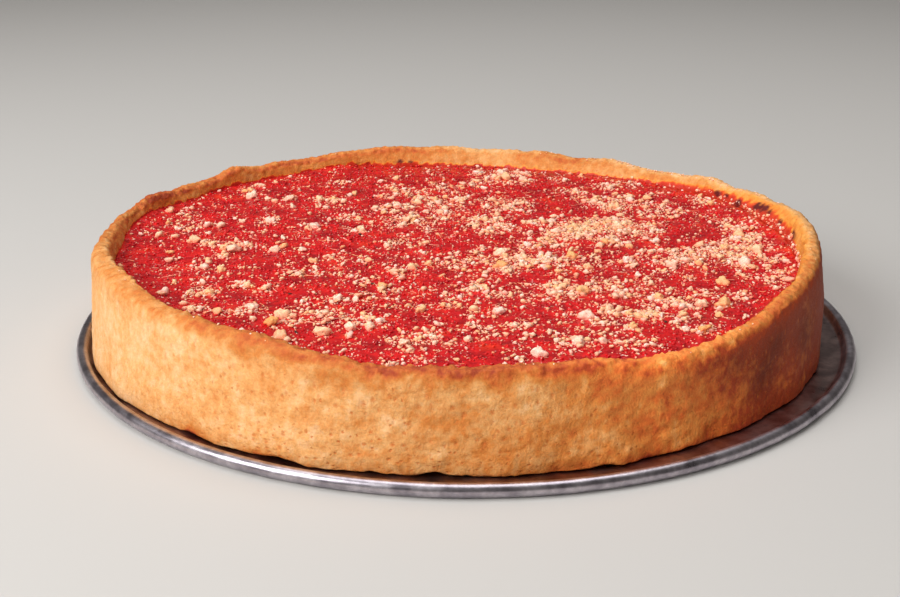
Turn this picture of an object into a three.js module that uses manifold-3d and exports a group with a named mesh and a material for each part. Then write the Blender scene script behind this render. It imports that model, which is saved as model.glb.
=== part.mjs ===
// A deep dish pizza on its round metal tray, in millimetres, +Z up.
// The origin is the middle of the tray's underside. Directions round the pie are in degrees from +X to +Y.

import * as THREE from "three";
import { mergeVertices } from "three/addons/utils/BufferGeometryUtils.js";
import Module from "manifold-3d";

const wasm = await Module();
wasm.setup();

// Tray: one sheet of aluminium whose edge is rolled into a closed bead.
const TRAY_RADIUS = 163.8;
const SHEET = 1.3;
const BEAD_RADIUS = 2.5;
const BEAD_LIFT = 0.2;
const BEAD_STEPS = 9;
const FLAT_RADIUS = 157;
const TRAY_STEPS = 96;

// Pie: baked in a 12 inch pan, then set down a little off the tray's middle.
const PIE_X = -4;
const PIE_Y = 4;
const PIE_STEPS = 144;
const GAP = 0.3;
const PIE_BOTTOM = SHEET + GAP;

// Crust, outside: the wall leans in a little from its foot to the rim.
const FOOT_RADIUS = 154.4;
const FOOT_ROUND = 2.2;
const RIM_RADIUS = 152.2;
const RIM_HEIGHT = 41.5;
const RIM_THICKNESS = 9;

// Crust, inside: a cup that the filling sits in.
const CUP_FLOOR = 8;
const CUP_FILLET = 7;
const CUP_RADIUS = 143.6;

// Filling, up to the level of the sauce.
const SAUCE_LEVEL = 35;
const SAUCE_RELIEF = 0.4;
const SAUCE_CREEP = 18;

// Swells round the pie: [direction, spread, height].
const RIM_SWELLS = [
  [-150, 20, 4.2], [-119, 10, 2.6], [-95, 15, -2.6], [-57, 17, -5.6], [-4, 24, 5.6],
  [34, 5, 1.6], [46, 7, -1.4], [66, 4, -1], [72.5, 3, 1.2], [90, 6, 1.6],
  [106, 9, 2.6], [127, 4, 1], [138, 4, 2.2], [153, 3, -0.6], [162, 6, 2.2],
];
const CREST_SWELLS = [[-148, 22, -3], [-20, 22, -0.6]];
const WALL_SWELLS = [[-8, 22, -0.4], [-112, 20, 0.3]];
const FOOT_SWELLS = [
  [-150, 16, 1.1], [-134, 7, -0.9], [-112, 7, 0.9], [-69, 4, 1.3], [-26, 14, 0.7], [130, 45, -2.2],
];
const CUP_SWELLS = [[75, 26, -4.6], [-165, 24, -0.8], [170, 12, 1], [11, 15, -4.4]];
const LEVEL_SWELLS = [
  [166, 11, 3.2], [138, 12, 1], [116, 8, 2], [70, 26, -0.9], [12, 19, 3], [-57, 18, -1.5],
];
const LIFT_SWELLS = [
  [-114, 3, 1.6], [-101, 1.6, 0.8], [-93, 3, 1.3], [-70.5, 1.8, 1.5], [35, 6, 0.8], [150, 7, 0.7],
];
const WALL_DENTS = [
  [-119, 5, -1.1], [-80, 4, 0.8], [-66, 4, -0.9], [-12, 14, 0.7], [25, 7, -0.8], [75, 6, 0.8], [160, 6, -0.9],
];

// Cheese crumbs large enough to show from a step away, and where they lie thickest: [x, y, spread, share].
const CRUMB_COUNT = 112;
const CRUMB_SMALLEST = 3.8;
const CRUMB_LARGEST = 7;
const CRUMB_EDGE_ROOM = 9;
// The crumbs that lie alone or lead a clump: [x, y, size].
const LONE_CRUMBS = [
  [-94, -10, 7], [-77, -10, 5.5], [-65, -9, 4.5], [-59, -23, 5], [-95, -37, 4], [-95, -65, 4.5],
  [-99, -83, 4.5], [-76, -82, 5], [-64, -90, 7], [-62, -112, 6.5], [-48, -107, 6.5], [-45, -72, 5],
  [-63, 26, 5.5], [-84, 32, 5], [-102, 84, 5], [-80, 73, 6.5], [-65, 69, 5], [-18, -33, 5],
  [-29, -56, 5], [18, -31, 6.5], [-22, 36, 6], [44, 17, 6.5], [48, -17, 6], [49, -63, 6.5],
  [48, -90, 7], [71, -23, 6], [88, -31, 7], [104, -2, 5], [119, -25, 7.5], [127, -10, 7],
  [101, -77, 7], [105, -51, 6], [89, -103, 6], [-18, -117, 5.5], [43, -117, 5.5], [35, 119, 5],
];
const CRUMB_PATCHES = [
  [57, 27, 20, 5], [81, 69, 13, 3], [29, 118, 13, 2], [-18, 82, 17, 3], [122, -9, 12, 3],
  [122, 32, 8, 1], [47, -61, 12, 2], [62, -24, 24, 4], [19, -22, 16, 2], [-43, 37, 14, 1],
  [-60, -92, 14, 1], [-10, -112, 16, 2], [68, -82, 15, 2], [-97, -2, 10, 1], [-100, 80, 10, 1], [0, 0, 95, 8],
];

const METAL = { color: 0xb4aab2, roughness: 0.38, metalness: 1 };
const BAKED_CRUST = { color: 0xe3a058, roughness: 0.85, metalness: 0 };
const TOMATO_SAUCE = { color: 0xc8201e, roughness: 0.4, metalness: 0 };

function swells(direction, list) {
  let sum = 0;
  for (const [middle, spread, height] of list) {
    const away = THREE.MathUtils.euclideanModulo(direction - middle + 180, 360) - 180;
    sum += height * Math.exp(-((away / spread) ** 2));
  }
  return sum;
}

// A wave that closes on itself after one turn round the pie.
const wave = (direction, count, shift) => Math.sin(THREE.MathUtils.degToRad(direction * count + shift));

const rimHeight = (direction) =>
  RIM_HEIGHT + swells(direction, RIM_SWELLS)
  + 0.3 * wave(direction, 19, 40) + 0.25 * wave(direction, 31, 130);

const sauceLevel = (direction) => SAUCE_LEVEL + swells(direction, LEVEL_SWELLS);

const cupRadius = (direction) =>
  CUP_RADIUS + swells(direction, CUP_SWELLS) + 0.5 * wave(direction, 13, 70) + 0.3 * wave(direction, 23, 10);

// How far the outer wall bulges out or is dented at a direction and a height.
function wallRelief(direction, height) {
  const middle = Math.sin(Math.PI * THREE.MathUtils.clamp(height / RIM_HEIGHT, 0, 1));
  const ripple = 0.3 * wave(direction + height, 11, 20) + 0.25 * wave(direction - 0.7 * height, 24, 75);
  return middle * (swells(direction, WALL_DENTS) + ripple);
}

// The crust's section at one direction, from the underside's middle, over the rim, to the cup floor's middle.
function crustSection(direction) {
  const foot = FOOT_RADIUS + swells(direction, FOOT_SWELLS) + 0.3 * wave(direction, 29, 15);
  const lift = swells(direction, LIFT_SWELLS);
  const rim = rimHeight(direction);
  const outer = RIM_RADIUS + swells(direction, WALL_SWELLS);
  const crest = RIM_RADIUS - 0.45 * RIM_THICKNESS + swells(direction, CREST_SWELLS);
  const cup = cupRadius(direction);
  const level = sauceLevel(direction);
  const shoulder = Math.max(rim - 1.7, 0.5 * (rim + level));
  const lip = Math.max(cup + 0.8, crest - 3.4);
  const wall = (share) => {
    const height = THREE.MathUtils.lerp(PIE_BOTTOM + FOOT_ROUND, rim - 4.5, share);
    const radius = THREE.MathUtils.lerp(foot, outer, share ** 0.8);
    return [radius + wallRelief(direction, height), height];
  };
  return [
    [0, PIE_BOTTOM],
    [foot - 2 * FOOT_ROUND, PIE_BOTTOM],
    [foot - 0.5 * FOOT_ROUND, PIE_BOTTOM + 0.25 * FOOT_ROUND + 0.6 * lift],
    [foot, PIE_BOTTOM + FOOT_ROUND + 0.5 * lift],
    wall(0.3),
    wall(0.6),
    wall(0.85),
    wall(1),
    [Math.max(outer - 1.2, crest + 2.6), rim - 1.6],
    [crest + 1.6, rim - 0.2],
    [crest - 1.2, rim - 0.2],
    [lip, shoulder],
    [0.5 * (lip + cup), 0.5 * (shoulder + level)],
    [cup, level],
    [cup - 1, CUP_FLOOR + CUP_FILLET],
    [cup - 1 - CUP_FILLET, CUP_FLOOR],
    [0, CUP_FLOOR],
  ];
}

// Height of the sauce at a point: lumpy with crushed tomato, drawn up or down to its edge along the crust.
function sauceTop(x, y) {
  const direction = THREE.MathUtils.radToDeg(Math.atan2(y, x));
  const toEdge = cupRadius(direction) - Math.hypot(x, y);
  const edge = THREE.MathUtils.clamp(1 - toEdge / SAUCE_CREEP, 0, 1) ** 2;
  const lumps = Math.sin(x / 9 + 1.3) * Math.cos(y / 11 - 0.4)
    + 0.6 * Math.sin((x + y) / 17) * Math.cos((x - y) / 13);
  return SAUCE_LEVEL + (1 - edge) * SAUCE_RELIEF * lumps + edge * swells(direction, LEVEL_SWELLS);
}

// The filling's section at one direction: it keeps the gap to the cup all the way round.
function fillingSection(direction) {
  const cup = cupRadius(direction) - GAP;
  const angle = THREE.MathUtils.degToRad(direction);
  const ring = (radius) => [radius, sauceTop(radius * Math.cos(angle), radius * Math.sin(angle))];
  return [
    [0, CUP_FLOOR + GAP],
    [cup - 1 - CUP_FILLET, CUP_FLOOR + GAP],
    [cup - 1, CUP_FLOOR + CUP_FILLET + GAP],
    ring(cup),
    ring(cup - 5),
    ring(cup - 14),
    ring(88),
    ring(44),
    [0, sauceTop(0, 0)],
  ];
}

// A lathe whose section changes as it turns: both ends of each section lie on the axis.
function turnedSolid(sectionAt, steps) {
  const first = sectionAt(0);
  const rings = first.length - 2;
  const points = [0, 0, first[0][1]];
  for (let step = 0; step < steps; step++) {
    const direction = 360 * step / steps;
    const angle = THREE.MathUtils.degToRad(direction);
    for (const [radius, height] of sectionAt(direction).slice(1, -1)) {
      points.push(radius * Math.cos(angle), radius * Math.sin(angle), height);
    }
  }
  points.push(0, 0, first[rings + 1][1]);
  const top = steps * rings + 1;
  const faces = [];
  for (let step = 0; step < steps; step++) {
    const here = 1 + step * rings;
    const next = 1 + ((step + 1) % steps) * rings;
    faces.push(0, next, here);
    for (let ring = 0; ring < rings - 1; ring++) {
      faces.push(here + ring, next + ring, next + ring + 1);
      faces.push(here + ring, next + ring + 1, here + ring + 1);
    }
    faces.push(here + rings - 1, next + rings - 1, top);
  }
  const geometry = new THREE.BufferGeometry();
  geometry.setAttribute("position", new THREE.Float32BufferAttribute(points, 3));
  geometry.setIndex(faces);
  return geometry;
}

// The same numbers from the same seed on every run, between 0 and 1.
function seededRandom(seed) {
  let state = seed;
  return () => {
    state = (state * 1664525 + 1013904223) % 4294967296;
    return state / 4294967296;
  };
}

// The sum of a few draws is close to a bell curve.
const bell = (random) => (random() + random() + random() + random() - 2) * 1.7;

// One irregular crumb of the given size, half sunk at its place.
function crumbGeometry(size, x, y, z, random) {
  const crumb = new THREE.IcosahedronGeometry(0.5, 0);
  crumb.deleteAttribute("normal");
  crumb.deleteAttribute("uv");
  const knobbly = mergeVertices(crumb, 0.001);
  const place = knobbly.getAttribute("position");
  for (let index = 0; index < place.count; index++) {
    const reach = 0.78 + 0.44 * random();
    place.setXYZ(index, place.getX(index) * reach, place.getY(index) * reach, place.getZ(index) * reach);
  }
  knobbly.rotateX(random() * Math.PI);
  knobbly.scale(size, size * (0.65 + 0.3 * random()), size * (0.55 + 0.2 * random()));
  knobbly.rotateZ(random() * Math.PI);
  knobbly.translate(x, y, z);
  return knobbly;
}

// Where crumbs lie and how large they are: the lone ones, then as many in the patches as there is room for.
function scatterCrumbs(random) {
  const shares = CRUMB_PATCHES.flatMap((patch) => Array(patch[3]).fill(patch));
  const crumbs = LONE_CRUMBS.map(([x, y, size]) => ({ x, y, size }));
  while (crumbs.length < CRUMB_COUNT) {
    const [middleX, middleY, spread] = shares[Math.floor(random() * shares.length)];
    const x = middleX + spread * bell(random);
    const y = middleY + spread * bell(random);
    const direction = THREE.MathUtils.radToDeg(Math.atan2(y, x));
    const size = CRUMB_SMALLEST + (CRUMB_LARGEST - CRUMB_SMALLEST) * random() ** 4;
    const room = crumbs.every((other) => Math.hypot(x - other.x, y - other.y) > 0.45 * (size + other.size));
    if (room && Math.hypot(x, y) < cupRadius(direction) - CRUMB_EDGE_ROOM) {
      crumbs.push({ x, y, size });
    }
  }
  return crumbs;
}

function toManifold(geometry) {
  const plain = mergeVertices(geometry, 0.001);
  return new wasm.Manifold(new wasm.Mesh({
    numProp: 3,
    vertProperties: new Float32Array(plain.getAttribute("position").array),
    triVerts: new Uint32Array(plain.getIndex().array),
  }));
}

function fromManifold(solid) {
  const mesh = solid.getMesh();
  const geometry = new THREE.BufferGeometry();
  geometry.setAttribute("position", new THREE.Float32BufferAttribute(mesh.vertProperties, 3));
  geometry.setIndex(Array.from(mesh.triVerts));
  return geometry;
}

function trayGeometry() {
  const beadX = TRAY_RADIUS - BEAD_RADIUS;
  const beadZ = BEAD_RADIUS + BEAD_LIFT;
  const profile = [new THREE.Vector2(0, 0), new THREE.Vector2(beadX - 1.6, 0)];
  for (let step = 0; step <= BEAD_STEPS; step++) {
    const angle = THREE.MathUtils.degToRad(THREE.MathUtils.lerp(-100, 135, step / BEAD_STEPS));
    const radius = beadX + BEAD_RADIUS * Math.cos(angle);
    profile.push(new THREE.Vector2(radius, beadZ + BEAD_RADIUS * Math.sin(angle)));
  }
  profile.push(
    new THREE.Vector2(FLAT_RADIUS + 1.3, SHEET + 0.6),
    new THREE.Vector2(FLAT_RADIUS, SHEET),
    new THREE.Vector2(0, SHEET),
  );
  const geometry = new THREE.LatheGeometry(profile, TRAY_STEPS);
  geometry.rotateX(Math.PI / 2);
  return geometry;
}

function fillingGeometry() {
  const random = seededRandom(1907);
  const body = toManifold(turnedSolid(fillingSection, PIE_STEPS));
  const crumbs = scatterCrumbs(random).map(({ x, y, size }) =>
    toManifold(crumbGeometry(size, x, y, sauceTop(x, y), random)));
  return fromManifold(crumbs.reduce((solid, crumb) => solid.add(crumb), body));
}

function part(name, geometry, finish) {
  const mesh = new THREE.Mesh(geometry, new THREE.MeshStandardMaterial(finish));
  mesh.name = name;
  return mesh;
}

const pie = new THREE.Group();
pie.add(part("crust", turnedSolid(crustSection, PIE_STEPS), BAKED_CRUST));
pie.add(part("filling", fillingGeometry(), TOMATO_SAUCE));
pie.position.set(PIE_X, PIE_Y, 0);

const pizza = new THREE.Group();
pizza.add(part("tray", trayGeometry(), METAL));
pizza.add(pie);

export default pizza;
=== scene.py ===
# %% [markdown]
# # A deep dish pizza on its metal tray
#
# A deep dish pizza is a pie: bread dough pressed up the wall of an oiled pan, filled, covered with crushed
# tomatoes and strewn with grated hard cheese. Out of its pan it stands on a flat round tray.
#
# The solids that carry the object are finished before this script starts. Here each one gets the surface
# that the eye expects: pores and browning in the crust, pulp in the sauce, thousands of cheese crumbs, and
# the turned and scratched metal of the tray.

# %% Tools
import math

import bmesh
import bpy
import numpy as np
from mathutils import Matrix, Vector, noise


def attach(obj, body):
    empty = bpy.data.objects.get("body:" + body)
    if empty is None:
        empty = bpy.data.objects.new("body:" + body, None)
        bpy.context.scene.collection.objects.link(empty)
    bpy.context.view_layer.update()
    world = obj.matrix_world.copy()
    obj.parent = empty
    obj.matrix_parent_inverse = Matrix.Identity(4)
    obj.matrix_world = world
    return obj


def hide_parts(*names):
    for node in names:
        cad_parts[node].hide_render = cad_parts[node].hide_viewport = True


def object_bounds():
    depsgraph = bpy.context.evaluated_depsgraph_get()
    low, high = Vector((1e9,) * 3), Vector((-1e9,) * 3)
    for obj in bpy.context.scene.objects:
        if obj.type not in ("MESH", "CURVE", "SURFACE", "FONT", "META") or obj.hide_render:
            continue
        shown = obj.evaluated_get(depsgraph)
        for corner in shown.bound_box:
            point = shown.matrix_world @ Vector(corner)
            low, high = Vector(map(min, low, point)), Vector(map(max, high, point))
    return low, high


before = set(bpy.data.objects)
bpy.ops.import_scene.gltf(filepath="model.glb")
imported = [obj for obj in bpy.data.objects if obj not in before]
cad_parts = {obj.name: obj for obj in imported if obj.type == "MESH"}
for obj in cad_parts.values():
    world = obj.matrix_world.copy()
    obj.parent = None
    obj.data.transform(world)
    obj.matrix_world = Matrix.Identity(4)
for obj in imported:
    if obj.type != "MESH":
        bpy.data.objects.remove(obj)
CAD_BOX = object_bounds()
print("solids:", sorted(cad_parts))
print("box in mm:", [round(side * 1000, 1) for side in CAD_BOX[1] - CAD_BOX[0]])

# %% [markdown]
# ## Measures
#
# Everything below is worked out in millimetres round the pie's middle and turned to metres at the end. A
# pie is not a perfect circle, so its rim, foot and cup swell and sink with the direction. A swell is a bell
# curve: where its middle is in degrees, how far it spreads, and how high it is in millimetres. The dressed
# crust repeats the solid's own swells, so that it keeps the solid's form.

# %% Sizes in millimetres
MM = 0.001
PIE_MIDDLE = np.array([-4.0, 4.0, 0.0])
PIE_BOTTOM = 1.6
FOOT_RADIUS = 154.4
FOOT_ROUND = 2.2
RIM_RADIUS = 152.2
RIM_HEIGHT = 41.5
RIM_THICKNESS = 9.0
CUP_FLOOR = 8.0
CUP_FILLET = 7.0
CUP_RADIUS = 143.6
SAUCE_LEVEL = 35.0
SAUCE_RELIEF = 0.4
SAUCE_CREEP = 18.0
GAP = 0.3

RIM_SWELLS = [
    (-150, 20, 4.2), (-119, 10, 2.6), (-95, 15, -2.6), (-57, 17, -5.6), (-4, 24, 5.6),
    (34, 5, 1.6), (46, 7, -1.4), (66, 4, -1), (72.5, 3, 1.2), (90, 6, 1.6),
    (106, 9, 2.6), (127, 4, 1), (138, 4, 2.2), (153, 3, -0.6), (162, 6, 2.2),
]
CREST_SWELLS = [(-148, 22, -3), (-20, 22, -0.6)]
WALL_SWELLS = [(-8, 22, -0.4), (-112, 20, 0.3)]
FOOT_SWELLS = [
    (-150, 16, 1.1), (-134, 7, -0.9), (-112, 7, 0.9), (-69, 4, 1.3), (-26, 14, 0.7), (130, 45, -2.2),
]
CUP_SWELLS = [(75, 26, -4.6), (-165, 24, -0.8), (170, 12, 1), (11, 15, -4.4)]
LEVEL_SWELLS = [
    (166, 11, 3.2), (138, 12, 1), (116, 8, 2), (70, 26, -0.9), (12, 19, 3), (-57, 18, -1.5),
]
LIFT_SWELLS = [
    (-114, 3, 1.6), (-101, 1.6, 0.8), (-93, 3, 1.3), (-70.5, 1.8, 1.5), (35, 6, 0.8), (150, 7, 0.7),
]
WALL_DENTS = [
    (-119, 5, -1.1), (-80, 4, 0.8), (-66, 4, -0.9), (-12, 14, 0.7), (25, 7, -0.8), (75, 6, 0.8),
    (160, 6, -0.9),
]


def share(values):
    """The values, cut off below 0 and above 1."""
    return np.clip(values, 0, 1)


def bell(away, spread):
    """1 in the middle, falling off to all sides."""
    return np.exp(-((away / spread) ** 2))


def swells(direction, places):
    """The sum of all swells at a direction in degrees, or at an array of directions."""
    total = np.zeros(np.shape(direction))
    for middle, spread, height in places:
        total = total + height * bell((direction - middle + 180) % 360 - 180, spread)
    return total


def wave(direction, count, shift):
    """A wave that closes on itself after one turn round the pie."""
    return np.sin(np.radians(direction * count + shift))


def rim_height(direction):
    ripple = 0.3 * wave(direction, 19, 40) + 0.25 * wave(direction, 31, 130)
    return RIM_HEIGHT + swells(direction, RIM_SWELLS) + ripple


def cup_radius(direction):
    ripple = 0.5 * wave(direction, 13, 70) + 0.3 * wave(direction, 23, 10)
    return CUP_RADIUS + swells(direction, CUP_SWELLS) + ripple


def sauce_level(direction):
    return SAUCE_LEVEL + swells(direction, LEVEL_SWELLS)


def direction_of(x, y):
    """The direction of each place in degrees, seen from the pie's middle."""
    return np.degrees(np.arctan2(y, x))


def room_to_cup(x, y):
    """How far each place is from the cup's wall."""
    return cup_radius(direction_of(x, y)) - np.hypot(x, y)


print("rim from", round(float(rim_height(-57)), 1), "to", round(float(rim_height(-4)), 1), "mm high")

# %% [markdown]
# ## The camera
#
# The camera comes first, because it says how large a millimetre is in the picture, and so how fine the
# relief has to be. It stands a little over half a metre in front of the pie and looks down at it.

# %% Camera
LENS_MM = 55.96
CAMERA_PLACE = Vector((-4.0, -569.8, 213.75)) * MM
LOOK_DOWN = math.radians(19.508)
LOOK_LEFT = math.radians(0.263)
ROLL = math.radians(0.072)
FRAME_WIDTH_PX = 900
SENSOR_MM = 36
TO_FRONT_WALL_MM = 461

camera = bpy.data.objects.new("camera", bpy.data.cameras.new("camera"))
camera.data.lens = LENS_MM
camera.data.sensor_width = SENSOR_MM
camera.data.sensor_fit = "HORIZONTAL"
camera.matrix_world = (
    Matrix.Translation(CAMERA_PLACE) @ Matrix.Rotation(LOOK_LEFT, 4, "Z")
    @ Matrix.Rotation(math.pi / 2 - LOOK_DOWN, 4, "X") @ Matrix.Rotation(ROLL, 4, "Z")
)
bpy.context.scene.collection.objects.link(camera)
bpy.context.scene.camera = camera
pixels_per_mm = FRAME_WIDTH_PX * LENS_MM / SENSOR_MM / TO_FRONT_WALL_MM
print("at the front wall a millimetre is", round(pixels_per_mm, 1), "pixels wide")

# %% [markdown]
# ## Helpers for meshes
#
# `show` makes an object of a finished mesh, gives it its finish, lets it ride with the tray and pie, and
# prints its size in triangles. Relief comes from two kinds of noise: soft grain, and the distance to
# scattered points, which makes pits and lumps.


# %% Showing a piece
def mesh_of(name, bm):
    """The finished bmesh as a mesh."""
    mesh = bpy.data.meshes.new(name)
    bm.to_mesh(mesh)
    bm.free()
    return mesh


def in_scene(name, mesh, finish):
    """The mesh as an object of the scene."""
    mesh.materials.append(finish)
    piece = bpy.data.objects.new(name, mesh)
    bpy.context.scene.collection.objects.link(piece)
    return piece


def show(name, mesh, finish):
    """The mesh as a piece of the pizza or its tray."""
    mesh.shade_smooth()
    piece = in_scene(name, mesh, finish)
    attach(piece, "root")
    triangles = sum(len(face.vertices) - 2 for face in mesh.polygons)
    print(f"{name}: {triangles} triangles")
    return piece


def to_metres(places):
    """Places in millimetres round the pie's middle, as metres in the object's own frame."""
    return (places + PIE_MIDDLE) * MM


def grain(places, size, octaves=3, shift=0.0):
    """Uneven grain about as large as size, in millimetres, between about -1 and 1, at each place."""
    scaled = places / size + shift
    return np.array([noise.fractal(Vector(place), 0.9, 2.1, octaves) for place in scaled])


def cells(places, size, shift=0.0):
    """How far each place is from the nearest of many scattered points, in parts of size."""
    scaled = places / size + shift
    return np.array([noise.voronoi(Vector(place))[0][0] for place in scaled])


def store(bm, **numbers):
    """Keeps named numbers for each point of a mesh, for its material to read."""
    for name, values in numbers.items():
        layer = bm.verts.layers.float.new(name)
        for vert, value in zip(bm.verts, values):
            vert[layer] = value


# %% [markdown]
# ## Helpers for materials
#
# Colours are written as a designer reads them, in sRGB hex, and one function turns them to the linear
# values that a shader counts in. Another adds any node. Its inputs are values, sockets, or nodes, whose
# first output is meant. A Map Range lists its value, the range that comes in and the range that goes out.
# Each material lays coats over its first colour: how much of each, its colour, and how it mixes with what
# is below.


# %% Colours and nodes
def linear(hex_colour):
    """An sRGB hex colour as linear red, green, blue and alpha."""
    parts = [int(hex_colour[start:start + 2], 16) / 255 for start in (1, 3, 5)]
    return [part / 12.92 if part <= 0.04045 else ((part + 0.055) / 1.055) ** 2.4 for part in parts] + [1]


def set_inputs(node, inputs):
    """Sets inputs, named or listed in the node's own order, to values or to links from what feeds them."""
    for name, value in inputs.items() if isinstance(inputs, dict) else enumerate(inputs):
        if isinstance(value, bpy.types.Node):
            value = next(output for output in value.outputs if output.enabled)
        if isinstance(value, bpy.types.NodeSocket):
            node.id_data.links.new(value, node.inputs[name])
        else:
            node.inputs[name].default_value = linear(value) if isinstance(value, str) else value


def add(tree, kind, inputs=(), stops=(), **settings):
    """Adds a node with its settings and inputs. Stops are a ramp's places and colours."""
    node = tree.nodes.new("ShaderNode" + kind)
    for name, value in settings.items():
        setattr(node, name, value)
    set_inputs(node, inputs)
    if stops:
        elements = node.color_ramp.elements
        while len(elements) < len(stops):
            elements.new(0.5)
        for element, (place, colour) in zip(elements, stops):
            element.position = place
            element.color = linear(colour)
    return node


def start_material(name, *stored):
    """A new material, its tree, its surface shader, Object coordinates and numbers stored on the points."""
    material = bpy.data.materials.new(name)
    material.use_nodes = True
    tree = material.node_tree
    place = add(tree, "TexCoord").outputs["Object"]
    numbers = [add(tree, "Attribute", attribute_name=number).outputs["Fac"] for number in stored]
    return material, tree, tree.nodes["Principled BSDF"], place, numbers


# The inputs of a Mix node, which share their names: how much, and the vectors and colours to mix.
MIX_SHARE, MIX_VECTOR_A, MIX_VECTOR_B, MIX_BELOW, MIX_ABOVE = 0, 4, 5, 6, 7

# %% [markdown]
# ## The crust's section
#
# The crust is a turned shape whose section changes as it turns. Its section is a short list of corner
# points, from the underside over the foot, up the wall, over the rim and down into the cup. A quadratic
# B-spline rounds the corners as dough does, and never leaves the solid's own outline.


# %% Section of the crust at any direction
# The wall's own curve ends this far below the rim, where its shoulder starts.
WALL_END = 4.5


def wall_relief(direction, height):
    """How far the outer wall bulges out or is dented."""
    middle = np.sin(np.pi * share(height / RIM_HEIGHT))
    ripple = 0.3 * wave(direction + height, 11, 20) + 0.25 * wave(direction - 0.7 * height, 24, 75)
    return middle * (swells(direction, WALL_DENTS) + ripple)


def crust_corners(direction):
    """The corners of the section at each direction, in millimetres: a (radius, height) for each corner."""
    foot = FOOT_RADIUS + swells(direction, FOOT_SWELLS) + 0.3 * wave(direction, 29, 15)
    lift = swells(direction, LIFT_SWELLS)
    rim = rim_height(direction)
    outer = RIM_RADIUS + swells(direction, WALL_SWELLS)
    crest = RIM_RADIUS - 0.45 * RIM_THICKNESS + swells(direction, CREST_SWELLS)
    cup = cup_radius(direction)
    level = sauce_level(direction)
    shoulder = np.maximum(rim - 1.7, 0.5 * (rim + level))
    lip = np.maximum(cup + 0.8, crest - 3.4)
    flat = np.ones_like(direction)

    def wall(part):
        low = PIE_BOTTOM + FOOT_ROUND
        height = low + (rim - WALL_END - low) * part
        radius = foot + (outer - foot) * part ** 0.8
        return radius + wall_relief(direction, height), height

    corners = [
        (0 * flat, PIE_BOTTOM * flat),
        (foot - 2 * FOOT_ROUND, PIE_BOTTOM * flat),
        (foot - 0.5 * FOOT_ROUND, PIE_BOTTOM + 0.25 * FOOT_ROUND + 0.6 * lift),
        (foot, PIE_BOTTOM + FOOT_ROUND + 0.5 * lift),
        wall(0.3), wall(0.6), wall(0.85), wall(1.0),
        (np.maximum(outer - 1.2, crest + 2.6), rim - 1.6),
        (crest + 1.6, rim - 0.2),
        (crest - 1.2, rim - 0.2),
        (lip, shoulder),
        (0.5 * (lip + cup), 0.5 * (shoulder + level)),
        (cup, level),
        (cup - 1, (CUP_FLOOR + CUP_FILLET) * flat),
        (cup - 1 - CUP_FILLET, CUP_FLOOR * flat),
        (0 * flat, CUP_FLOOR * flat),
    ]
    return np.array(corners)


def along_section(direction, stop):
    """Radius and height of the rounded section at a stop: stop 8.0 is abreast of corner 8."""
    corners = crust_corners(direction)
    near = np.clip(np.floor(stop + 0.5).astype(int), 1, len(corners) - 2)
    u = stop + 0.5 - near
    column = np.arange(len(direction))
    before, here, after = (corners[near + step, :, column] for step in (-1, 0, 1))
    u = u[:, None]
    return 0.5 * (1 - u) ** 2 * before + (0.5 + u - u * u) * here + 0.5 * u * u * after


# Corner by corner, how many rings of points the rounded section gets.
RINGS_AT_CORNER = [3, 3, 7, 12, 13, 10, 7, 5, 4, 5, 4, 4, 6, 3, 3]
STOPS = np.concatenate([
    corner + 0.5 + np.arange(count) / count for corner, count in enumerate(RINGS_AT_CORNER)
])
print(len(STOPS), "rings of points along the section")

# %% [markdown]
# ## Spinning the crust
#
# A straight line of points is spun once round the axis, which makes a plain tube with exactly the rings and
# columns wanted. Then every point takes its place on the section of its own direction. Spinning first and
# shaping after keeps the mesh even and closed.

# %% The crust as a plain tube
CRUST_COLUMNS = 1000


def spun(line_places, columns):
    """A line of points, spun once round the upright axis."""
    bm = bmesh.new()
    line = [bm.verts.new(place) for place in line_places]
    edges = [bm.edges.new(pair) for pair in zip(line, line[1:])]
    bmesh.ops.spin(bm, geom=line + edges, cent=(0, 0, 0), axis=(0, 0, 1), angle=2 * math.pi,
                   steps=columns, use_merge=True)
    return bm


def places_of(bm):
    return np.array([vert.co for vert in bm.verts])


def move_points(bm, places):
    for vert, place in zip(bm.verts, places):
        vert.co = place


def close(bm):
    """Fills the open ends and makes all faces agree on one side."""
    bmesh.ops.holes_fill(bm, edges=[edge for edge in bm.edges if edge.is_boundary], sides=0)
    bmesh.ops.recalc_face_normals(bm, faces=bm.faces)


def ring_places(direction, radius, height):
    angle = np.radians(direction)
    return np.stack([radius * np.cos(angle), radius * np.sin(angle), height], axis=1)


# The tube has a radius of 1, and the height of each point is its ring's number.
crust = spun([(1, 0, ring) for ring in range(len(STOPS))], CRUST_COLUMNS)
tube_places = places_of(crust)
crust_direction = direction_of(tube_places[:, 0], tube_places[:, 1])
crust_stop = STOPS[np.rint(tube_places[:, 2]).astype(int)]
crust_places = ring_places(crust_direction, *along_section(crust_direction, crust_stop).T)
move_points(crust, crust_places)
close(crust)
crust.normal_update()
crust_normals = np.array([vert.normal for vert in crust.verts])
print("crust:", len(crust.verts), "points")

# %% [markdown]
# ## Relief of the baked dough
#
# Dough pressed against a pan bakes to a smooth skin with low undulations. Where it steamed or stuck, the
# skin is pitted with pores of about a millimetre and small blisters. On the free rim it is knobbly, and its
# inner edge crumbles. Each of these is a sum of noises at its own size, weighted by where on the crust it
# lies. At the foot the dough was pressed to a crisp edge, which curled up from the tray in places.

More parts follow.
